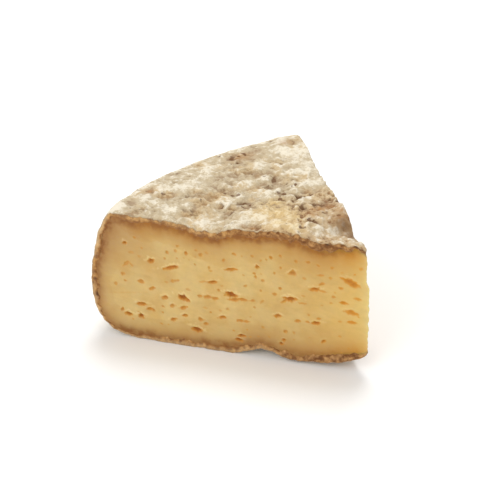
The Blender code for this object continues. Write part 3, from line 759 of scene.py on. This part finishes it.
def hollowed(radius, height, eyes, salt):
    """How deep the eyes reach into a cut, how far their orange has spread, and their upper lips, painted
    pale as a highlight.

    Each eye is an ellipse with slightly pointed ends, whose outline wavers with two noises, and it has a
    round bottom. The orange fades out round it, and is weaker at a shallow eye.
    """
    flat = np.stack([radius, height, np.full_like(radius, salt * MM)], axis=-1)
    waver = WAVER * noise(flat, WAVER_SIZE, salt=110) + FINE_WAVER * noise(flat, FINE_WAVER_SIZE, salt=114)
    depth, stain, lip_highlight = (np.zeros(radius.shape) for _ in range(3))
    for distance, level, length, opening, tilt, deepness in eyes:
        towards_tip, rise = distance * MM - radius, height - level * MM
        turn = radians(tilt)
        along = (towards_tip * cos(turn) + rise * sin(turn)) / (length * MM / 2)
        over = (rise * cos(turn) - towards_tip * sin(turn)) / (opening * MM / 2)
        reach = (np.abs(along) ** EYE_POWER + np.abs(over) ** EYE_POWER) ** (1 / EYE_POWER) * (1 + waver)
        deepest = deepness * min(EYE_DEPTH_SHARE * opening * MM, DEEPEST_EYE)
        depth = np.maximum(depth, deepest * np.clip(1.08 - reach**2, 0, 1))
        stain = np.maximum(stain, min(0.12 + 0.88 * deepness, 1) * (1 - ease_step(reach, 0.75, 1.4)))
        size = ease_step(opening * min(deepness, 1), 0.7, 1.7)
        lip_highlight = np.maximum(lip_highlight, size * bump(reach - 1.6, 0.4) * ease_step(over, 0, 1.2))
    return depth, stain, lip_highlight * (depth == 0)


def paste_shares():
    """Where along the outline the paste's top, heel and foot take their points."""
    return (
        np.linspace(0, PASTE_SHOULDER, PASTE_COLUMNS + 1),
        np.linspace(PASTE_SHOULDER, PASTE_FOOT, PASTE_ROWS + 1),
        np.linspace(PASTE_FOOT, 3, PASTE_COLUMNS + 1),
    )


def paste_edge(shares, swing):
    """The paste's outline on a cut, which lies behind the rind's band."""
    return np.stack(inside_skin(shares, swing, PASTE_INSET * rind_depth(shares)), axis=-1)


def dryness(radius, height, swing):
    """How dry the paste of a cut is, how dark the line behind the rind is, and how grey the dried paste is.

    Dryness is 1 at the rind and falls off as exp(-away to the power 1.1), where away is the distance to the
    nearest point of the rind's inner edge, less a start, as a share of the drying depth there. The tail and
    the line go by the distance itself. The dried paste is grey round the heel.
    """
    shares = np.linspace(0, 3, OUTLINE_SAMPLES)
    edge = np.stack(inside_skin(shares, swing, rind_depth(shares)), axis=-1)
    away, nearest = np.full(radius.shape, np.inf), np.zeros(radius.shape)
    for share, (edge_radius, edge_height), depth in zip(shares, edge, drying_depth(shares)):
        here = np.maximum(np.hypot(radius - edge_radius, height - edge_height) - DRY_START, 0) / depth
        nearest = np.where(here < away, share, nearest)
        away = np.minimum(away, here)
    behind = away * drying_depth(nearest)
    dry = (1 - DRY_TAIL) * np.exp(-(away**1.1)) + DRY_TAIL * np.exp(-behind / DRY_TAIL_REACH)
    dark_line_and_shadow = line_strength(nearest) * (1 - ease_step(behind, 0, LINE_WIDTH))
    return dry, dark_line_and_shadow, ease_step(nearest, *GREY_FROM)


def cut_face(swing, eyes, salt):
    """The paste on one cut, with its eyes: a Coons patch between the tip, the top, the heel and foot.

    It stands out by two level noises, the knife's and the curd's, and by the eyes' lips, less the eyes'
    depth, which is smaller near the tip. All of this fades out at the tip.
    """
    u = np.linspace(0, 1, PASTE_COLUMNS + 1)[:, None, None]
    v = np.linspace(0, 1, PASTE_ROWS + 1)[None, :, None]
    top, heel, foot = (paste_edge(shares, swing) for shares in paste_shares())
    foot, heel = foot[::-1], heel[::-1]
    tip = foot[0] + (top[0] - foot[0]) * v[0]
    rows = (1 - v) * foot[:, None] + v * top[:, None]
    columns = (1 - u) * tip[None] + u * heel[None]
    corners = (1 - u) * ((1 - v) * foot[0] + v * top[0]) + u * ((1 - v) * foot[-1] + v * top[-1])
    radius, height = np.moveaxis(rows + columns - corners, -1, 0)

    depth, stain, lip_highlight = hollowed(radius, height, eyes, salt)
    place = in_wheel(radius, swing, height)
    knife = KNIFE_RISE * noise(place * np.array([1, 1, 2.5]), KNIFE_SIZE, salt=120)
    curd = CURD_RISE * noise(place * np.array([1, 1, 3]), CURD_SIZE, salt=124)
    near_tip = np.exp(-radius / TIP_GLOW)
    out = knife + curd + LIP_RISE * lip_highlight - depth * (1 - 0.8 * near_tip)
    points = off_cut(in_part(radius, swing, height), swing, out * ease_step(radius, 0, TIP_FADE))
    dry, dark_line_and_shadow, dull = dryness(radius, height, swing)
    values = {
        "dry": dry * (1 - 0.5 * bump(radius, TIP_FRESH)),
        "dark_line_and_shadow": dark_line_and_shadow,
        "dull": dull,
        "eye": depth / MM,
        "stain": stain,
        "lip_highlight": lip_highlight * (1 - near_tip),
        "tip": near_tip,
    }
    return points, grid_triangles(*radius.shape), values


def paste():
    """The paste as one closed body: both cuts, and a coarse wall behind the rind that joins them."""
    first_eyes = list(FIRST_CUT_EYES)
    second_eyes = second_cut_eyes()
    faces = [
        cut_face(0, first_eyes + small_eyes(FIRST_SMALL_SEED, first_eyes), FIRST_WAVER_SALT),
        cut_face(1, second_eyes + small_eyes(SECOND_SMALL_SEED, second_eyes), SECOND_WAVER_SALT),
    ]
    first, last = (
        np.concatenate([points[:, -1], points[-1, -2:0:-1], points[::-1, 0]]) for points, _, _ in faces
    )
    top, heel, foot = paste_shares()
    shares = np.concatenate([top, heel[1:-1], foot])
    wall = hidden_wall(shares, rind_depth(shares) + RIND_TUCK + WALL_GAP, first, last)
    return closed_piece("tomme_paste", faces + [(*wall, {name: 0.0 for name in faces[0][2]})])


def colour(code):
    """An sRGB hex colour as linear red, green, blue and alpha."""
    parts = [int(code[i:i + 2], 16) / 255 for i in (0, 2, 4)]
    return (*[p / 12.92 if p <= 0.04045 else ((p + 0.055) / 1.055) ** 2.4 for p in parts], 1)


def feed(tree, node, **inputs):
    """Gives a node's inputs numbers, hex colours or other nodes' outputs.

    An input goes by its socket's name with _ for a space, or by its identifier, such as Value_001 for the
    second of several.
    """
    sockets = [s for s in node.inputs if s.enabled]
    for name, value in inputs.items():
        socket = next(s for s in sockets if name in (s.identifier, s.name.replace(" ", "_")))
        if isinstance(value, bpy.types.NodeSocket):
            tree.links.new(value, socket)
        else:
            socket.default_value = colour(value) if isinstance(value, str) else value


def add(tree, kind, settings=(), output=None, **inputs):
    """Adds a node with its settings and its inputs, and gives back an output, the first unless named."""
    made = tree.nodes.new("ShaderNode" + kind)
    for name, value in dict(settings).items():
        setattr(made, name, value)
    feed(tree, made, **inputs)
    return made.outputs[output] if output else next(s for s in made.outputs if s.enabled)


def new_material(name):
    """A material, its node tree and its shader."""
    material = bpy.data.materials.new(name)
    material.use_nodes = True
    return material, material.node_tree, material.node_tree.nodes["Principled BSDF"]


# Settings of nodes that mix colours, follow an S, or reckon.
MIX_COLOURS = {"data_type": "RGBA"}
SMOOTH = {"interpolation_type": "SMOOTHSTEP"}
TIMES, PLUS = {"operation": "MULTIPLY"}, {"operation": "ADD"}
TIMES_PLUS = {"operation": "MULTIPLY_ADD"}
# Most of what a noise texture gives lies between these.
FROM_NOISE = {"From_Min": 0.3, "From_Max": 0.7}


def per_mm(size):
    """The scale of a noise texture whose features are this many millimetres across."""
    return 1 / (size * MM)


def fresh_paste(tree, place, streak, curd, tip):
    """The colour of fresh paste: straw yellow in soft clouds, yellower and paler towards the thin tip, a
    painted glow of the light that comes through it there.
    """
    cloud = add(tree, "TexNoise", Vector=place, Scale=per_mm(9), Detail=3.0)
    cloud = add(tree, "MapRange", SMOOTH, Value=cloud, From_Min=0.35, From_Max=0.65)
    fresh = add(tree, "Mix", MIX_COLOURS, Factor=cloud, A="C7A564", B="CCB073")
    # Towards the tip the paste is painted yellower and then paler: a painted glow of light coming through
    # the thin paste.
    fresh = add(tree, "Mix", MIX_COLOURS, Factor=tip, A=fresh, B="D5AC54")
    painted_glow = add(tree, "Math", {"operation": "POWER"}, Value=tip, Value_001=3.0)
    fresh = add(tree, "Mix", MIX_COLOURS, Factor=painted_glow, A=fresh, B="D2C284")
    # The knife's faint level streaks, and the curd's speckles.
    for texture, lightest in ((streak, 1.04), (curd, 1.05)):
        light = add(tree, "MapRange", Value=texture, **FROM_NOISE, To_Min=0.95, To_Max=lightest)
        fresh = add(tree, "HueSaturation", Value=light, Color=fresh)
    return fresh


def dried_paste(tree, place, value, curd, fresh):
    """The paste's colour as it dries from the rind inwards, a broken darker line right behind the rind,
    partly brown and partly painted shadow under the rind's edge.
    """
    dry, tip = value["dry"], value["tip"]
    uneven = add(tree, "MapRange", Value=curd, **FROM_NOISE, To_Min=-0.12, To_Max=0.12)
    uneven = add(tree, "Math", TIMES_PLUS, Value=dry, Value_001=uneven, Value_002=dry)
    dried = add(tree, "Mix", MIX_COLOURS, Factor=value["dull"], A="A0681F", B="A07440")
    dried = add(tree, "Mix", MIX_COLOURS, Factor=tip, A=dried, B="C6861C")
    body = add(tree, "Mix", MIX_COLOURS, Factor=uneven, A=fresh, B=dried)
    # The broken darker line right behind the rind: partly brown paste, partly painted shadow under the
    # rind's edge.
    broken = add(tree, "TexNoise", Vector=place, Scale=per_mm(2.6), Detail=2.0)
    broken = add(tree, "MapRange", SMOOTH, Value=broken, From_Min=0.38, From_Max=0.6, To_Min=0.3)
    broken = add(tree, "Math", TIMES, Value=value["dark_line_and_shadow"], Value_001=broken)
    return add(tree, "Mix", MIX_COLOURS, Factor=broken, A=body, B="7E4A18")


def paste_with_eyes(tree, value, body):
    """The same with its eyes: orange, moist walls, brown at the bottom as painted shade, and upper lips
    painted pale as a highlight.
    """
    tip = value["tip"]
    # Deeper in an eye the walls turn brown: painted shade in the hollow.
    deep = add(tree, "MapRange", SMOOTH, Value=value["eye"], From_Min=0.3, From_Max=1.1)
    wall = add(tree, "Mix", MIX_COLOURS, Factor=tip, A="C4862E", B="CA8400")
    shaded_bottom = add(tree, "Mix", MIX_COLOURS, Factor=tip, A="A8641C", B="BE7800")
    wall = add(tree, "Mix", MIX_COLOURS, Factor=deep, A=wall, B=shaded_bottom)
    body = add(tree, "Mix", MIX_COLOURS, Factor=value["stain"], A=body, B=wall)
    # Upper lips are painted pale: a painted highlight.
    pale = add(tree, "Math", TIMES, Value=value["lip_highlight"], Value_001=0.4)
    return add(tree, "Mix", MIX_COLOURS, Factor=pale, A=body, B="E8D6A0")


def pressed_paste():
    """Semi-soft pressed paste, cut with a knife: satin, faintly translucent, straw yellow, orange eyes."""
    material, tree, shader = new_material("semi_soft_pressed_paste")
    place = add(tree, "TexCoord", output="Object")
    value = {
        name: add(tree, "Attribute", {"attribute_name": name}, output="Fac")
        for name in ("dry", "dark_line_and_shadow", "dull", "eye", "stain", "lip_highlight", "tip")
    }
    level = add(tree, "VectorRotate", {"rotation_type": "Y_AXIS"}, Vector=place, Angle=STREAK_TILT)
    level = add(tree, "Mapping", Vector=level, Scale=(1, 1, 3.5))
    streak = add(tree, "TexNoise", Vector=level, Scale=per_mm(8), Detail=4.0, Roughness=0.6)
    curd = add(tree, "TexNoise", Vector=place, Scale=per_mm(2.2), Detail=4.0, Roughness=0.7)
    grain = add(tree, "TexNoise", Vector=place, Scale=per_mm(0.5), Detail=2.0)
    body = fresh_paste(tree, place, streak, curd, value["tip"])
    body = dried_paste(tree, place, value, curd, body)
    body = paste_with_eyes(tree, value, body)
    gloss = add(tree, "MapRange", Value=grain, To_Min=0.45, To_Max=0.65)
    rough = add(tree, "Bump", Height=streak, Strength=1.0, Distance=0.05 * MM)
    rough = add(tree, "Bump", Height=grain, Strength=1.0, Distance=0.03 * MM, Normal=rough)
    feed(tree, shader, Base_Color=body, Roughness=gloss, Normal=rough, Specular_IOR_Level=0.3)
    # Light passes through it, less so where an eye near the tip is moist.
    moist = add(tree, "Math", TIMES, Value=value["stain"], Value_001=value["tip"])
    passing = add(tree, "MapRange", SMOOTH, Value=moist, From_Max=0.5, To_Min=0.45, To_Max=0.15)
    reach = {"Subsurface_Radius": (1.0, 0.6, 0.18), "Subsurface_Scale": 2.2 * MM}
    feed(tree, shader, Subsurface_Weight=passing, **reach)
    return material


def rind_colour(tree, place, value, felt, growth):
    """The skin's colour, from bare tan or grey-beige crust to thick cream mould, with rust, painted shade
    on a steep wall, and pits that are partly brown and partly painted shade.
    """
    blotch = add(tree, "TexNoise", Vector=place, Scale=per_mm(16), Detail=3.0, Roughness=0.6)
    grey = add(tree, "MapRange", SMOOTH, Value=blotch, From_Min=0.37, From_Max=0.53)
    crust = add(tree, "Mix", MIX_COLOURS, Factor=grey, A="A08058", B="9E8668")
    crust = add(tree, "Mix", MIX_COLOURS, Factor=value["warm"], A=crust, B="7C5028")
    middle = add(tree, "Mix", MIX_COLOURS, Factor=grey, A="C3AB83", B="BCAB8C")
    middle = add(tree, "Mix", MIX_COLOURS, Factor=value["warm"], A=middle, B="C0A47C")
    middle = add(tree, "Mix", MIX_COLOURS, Factor=value["ochre"], A=middle, B="C8AC78")
    cream = add(tree, "Mix", MIX_COLOURS, Factor=value["ochre"], A="E0D6C1", B="DECBA3")
    thin = add(tree, "MapRange", SMOOTH, Value=growth, From_Min=0.0, From_Max=0.45)
    thick = add(tree, "MapRange", SMOOTH, Value=growth, From_Min=0.5, From_Max=0.98)
    skin = add(tree, "Mix", MIX_COLOURS, Factor=thin, A=crust, B=middle)
    skin = add(tree, "Mix", MIX_COLOURS, Factor=thick, A=skin, B=cream)
    # Rust is the rind's own colour; the steep wall's darker brown is painted shade.
    for patch, strength, tint in ((value["rust"], 0.8, "A06C2C"), (value["shaded_wall"], 0.85, "80603E")):
        amount = add(tree, "Math", TIMES, Value=patch, Value_001=strength)
        skin = add(tree, "Mix", MIX_COLOURS, Factor=amount, A=skin, B=tint)
    # Pits, creases and the hollows between crags are dark brown, with ragged edges: partly the crust's own
    # brown, partly painted shade in these recesses.
    ragged = add(tree, "MapRange", Value=felt, From_Min=0.35, From_Max=0.65, To_Min=-0.35, To_Max=0.35)
    ragged = add(tree, "Math", PLUS, Value=ragged, Value_001=value["pit"])
    pit_brown_and_shade = add(tree, "MapRange", SMOOTH, Value=ragged, From_Min=0.3, From_Max=1.05, To_Max=0.9)
    return add(tree, "Mix", MIX_COLOURS, Factor=pit_brown_and_shade, A=skin, B="6C4826")


def cut_rind_colour(tree, value, scraps, grain):
    """The rind's colour where a knife went through it: tan with pale crumbs, browner towards the paste.
    Its hollows, crevices and nicks are darker and its raised crumbs paler, partly its own tones and partly
    painted shade and highlight; the brown towards the paste is partly painted shadow under the rind's edge.
    """
    crumb = add(tree, "MapRange", Value=scraps, **FROM_NOISE, To_Min=-0.8, To_Max=0.8)
    crumb = add(tree, "Math", PLUS, Value=crumb, Value_001=value["crumb"])
    crumbs = add(tree, "MapRange", SMOOTH, Value=crumb, From_Min=-0.9, From_Max=1.0)
    # Hollows between crumbs are darker and raised crumbs paler: partly the crust's own tones, partly
    # painted shade and highlight.
    hollow = add(tree, "Mix", MIX_COLOURS, Factor=value["shade"], A="7C4C20", B="70451E")
    raised = add(tree, "Mix", MIX_COLOURS, Factor=value["shade"], A="C08E4E", B="B88A58")
    cut = add(tree, "Mix", MIX_COLOURS, Factor=crumbs, A=hollow, B=raised)
    # Towards the paste the band turns browner along that line: partly brown, partly painted shadow under
    # the rind's edge.
    under = add(tree, "MapRange", SMOOTH, Value=value["inner"], From_Min=0.5, From_Max=1.1)
    under = add(tree, "Math", TIMES, Value=under, Value_001=value["dark_line_and_shadow"])
    # Paler still on the highest crumbs, partly a painted highlight, and near black-brown in the deepest
    # crevices and nicks, painted shade.
    pale = add(tree, "MapRange", SMOOTH, Value=crumb, From_Min=0.7, From_Max=1.4, To_Max=0.7)
    shaded_crevice = add(tree, "MapRange", SMOOTH, Value=crumb, From_Min=-1.0, From_Max=-2.0, To_Max=0.85)
    layers = ((under, "8E5C2A"), (pale, "CAA26C"), (value["edge"], "D8B888"), (shaded_crevice, "54341A"))
    for amount, tint in layers:
        cut = add(tree, "Mix", MIX_COLOURS, Factor=amount, A=cut, B=tint)
    fleck = add(tree, "MapRange", Value=grain, **FROM_NOISE, To_Min=0.86, To_Max=1.12)
    return add(tree, "HueSaturation", Value=fleck, Color=cut)


def mould_ripened_rind():
    """Mould-ripened rind, washed by hand and dried: matt, cream felt over a tan and grey-beige crust."""
    material, tree, shader = new_material("mould_ripened_rind")
    place = add(tree, "TexCoord", output="Object")
    value = {
        name: add(tree, "Attribute", {"attribute_name": name}, output="Fac")
        for name in SKIN_VALUES + BAND_VALUES
    }
    felt = add(tree, "TexNoise", Vector=place, Scale=per_mm(2.4), Detail=4.0, Roughness=0.7)
    scraps = add(tree, "TexNoise", Vector=place, Scale=per_mm(1.3), Detail=4.0, Roughness=0.7)
    grain = add(tree, "TexNoise", Vector=place, Scale=per_mm(0.8), Detail=3.0, Roughness=0.6)

    # The mesh says where mould grows, its felt makes the edges ragged, less so in a full patch.
    growth = add(tree, "MapRange", Value=felt, **FROM_NOISE, To_Min=-1.4, To_Max=1.3)
    calm = add(tree, "MapRange", Value=value["patch"], To_Min=0.31, To_Max=0.21)
    growth = add(tree, "Math", TIMES_PLUS, Value=growth, Value_001=calm, Value_002=value["mould"])
    speckle = add(tree, "MapRange", Value=grain, **FROM_NOISE, To_Min=-0.13, To_Max=0.13)
    growth = add(tree, "Math", PLUS, Value=growth, Value_001=speckle)
    skin = rind_colour(tree, place, value, felt, growth)
    cut = cut_rind_colour(tree, value, scraps, grain)
    body = add(tree, "Mix", MIX_COLOURS, Factor=value["section"], A=skin, B=cut)

    dull = add(tree, "MapRange", Value=growth, To_Min=0.8, To_Max=0.95)
    torn = add(tree, "Math", TIMES, Value=scraps, Value_001=value["section"])
    rough = add(tree, "Bump", Height=felt, Strength=1.0, Distance=0.3 * MM)
    rough = add(tree, "Bump", Height=grain, Strength=1.0, Distance=0.1 * MM, Normal=rough)
    rough = add(tree, "Bump", Height=torn, Strength=1.0, Distance=0.5 * MM, Normal=rough)
    feed(tree, shader, Base_Color=body, Roughness=dull, Normal=rough)
    feed(tree, shader, Specular_IOR_Level=0.2, Sheen_Weight=0.1, Sheen_Roughness=0.6)
    return material


def pale_board():
    """A matt white studio board."""
    material, tree, shader = new_material("matt_white_board")
    place = add(tree, "TexCoord", output="Object")
    cloud = add(tree, "TexNoise", Vector=place, Scale=6.0, Detail=2.0)
    body = add(tree, "Mix", MIX_COLOURS, Factor=cloud, A="FAF9F8", B="FCFCFB")
    feed(tree, shader, Base_Color=body, Roughness=0.9)
    return material


def floor():
    """A plain pale floor, a flat sheet 6 m across."""
    reach = 3.0
    x, y = np.meshgrid([-reach, reach], [-reach, reach])
    mesh = bpy.data.meshes.new("floor")
    mesh.from_pydata(np.stack([x, y, 0 * x], axis=-1).reshape(-1, 3).tolist(), [], [(0, 1, 3, 2)])
    piece = bpy.data.objects.new("floor", mesh)
    bpy.context.scene.collection.objects.link(piece)
    piece.data.materials.append(pale_board())
    return piece


def soft_light(name, place, size, watts):
    """A square soft box at a place, aimed at the wedge's middle."""
    lamp = bpy.data.lights.new(name, "AREA")
    lamp.size = size
    lamp.energy = watts
    box = bpy.data.objects.new(name, lamp)
    box.location = place
    box.rotation_euler = (LIGHTS_AIM - Vector(place)).to_track_quat("-Z", "Y").to_euler()
    bpy.context.scene.collection.objects.link(box)


def studio():
    """Even light from a bright room, a large key high behind the wedge, and a broad fill in front."""
    world = bpy.data.worlds.new("bright_room")
    world.use_nodes = True
    world.node_tree.nodes["Background"].inputs["Color"].default_value = (1, 1, 1, 1)
    world.node_tree.nodes["Background"].inputs["Strength"].default_value = ROOM_LIGHT
    bpy.context.scene.world = world
    soft_light("key", *KEY_LIGHT)
    soft_light("fill", *FILL_LIGHT)
    bpy.context.scene.view_settings.view_transform = "Standard"


def camera():
    """The photograph's view, turned about a point inside the wedge."""
    lens = bpy.data.cameras.new("camera")
    lens.lens = LENS
    lens.sensor_width = SENSOR
    lens.clip_start = 0.01
    eye = bpy.data.objects.new("camera", lens)
    target = Vector((TIP_X, CUT_Y, 0)) + VIEW_TARGET_FROM_TIP
    away = Vector((
        sin(VIEW_AZIMUTH) * cos(VIEW_ELEVATION),
        -cos(VIEW_AZIMUTH) * cos(VIEW_ELEVATION),
        sin(VIEW_ELEVATION),
    ))
    eye.location = target + away * VIEW_DISTANCE
    eye.rotation_euler = (-away).to_track_quat("-Z", "Y").to_euler()
    bpy.context.scene.collection.objects.link(eye)
    bpy.context.scene.camera = eye


wedge_low, wedge_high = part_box("tomme_wedge")
TIP_X, CUT_Y = wedge_high.x, wedge_low.y

rind_piece = rind()
rind_piece.data.materials.append(mould_ripened_rind())
paste_piece = paste()
paste_piece.data.materials.append(pressed_paste())
for piece, slot in ((rind_piece, "tomme_rind"), (paste_piece, "tomme_paste")):
    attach(piece, "root")
    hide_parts("tomme_wedge")
floor()
studio()
camera()
